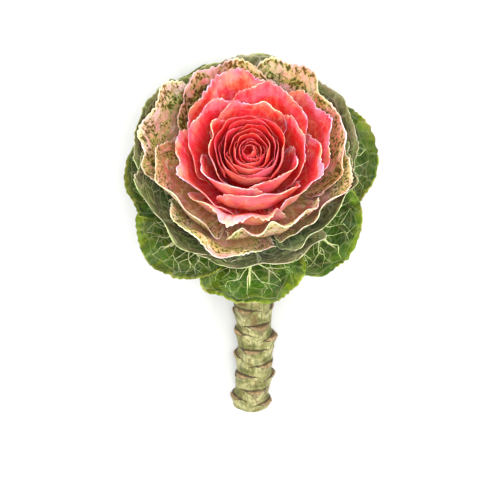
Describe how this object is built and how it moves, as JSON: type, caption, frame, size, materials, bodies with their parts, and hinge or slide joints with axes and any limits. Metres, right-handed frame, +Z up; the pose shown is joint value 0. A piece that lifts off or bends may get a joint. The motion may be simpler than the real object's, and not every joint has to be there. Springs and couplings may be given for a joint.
{
  "type": "ornamental kale stem",
  "caption": "Cut stem of ornamental kale lying down, with a rose-like head of cupped coral leaves, mottled outer leaves, a green collar and a scarred stalk.",
  "frame": {"origin": "on the table, under the middle of the part's box", "axes": "+Y along the stem towards its cut end, the head faces -Y and up, +Z up"},
  "size_m": [0.1632, 0.2748, 0.1307],
  "materials": {
    "stalk": "matt waxy skin with tan leaf scars",
    "heart_leaf": "satin deep coral leaf",
    "rose_leaf": "satin coral leaf with pale toothed edge",
    "mottled_leaf": "satin cream and pink leaf with green mottling",
    "cup_leaf": "waxy grey-green leaf with pale veins",
    "collar_leaf": "waxy bright green leaf with white veins"
  },
  "bodies": {
    "root": {"stem": "stalk", "heart_leaves": "heart_leaf", "rose_leaves": "rose_leaf", "mottled_leaves": "mottled_leaf", "cup_leaves": "cup_leaf", "collar_leaves": "collar_leaf"}
  },
  "joints": []
}
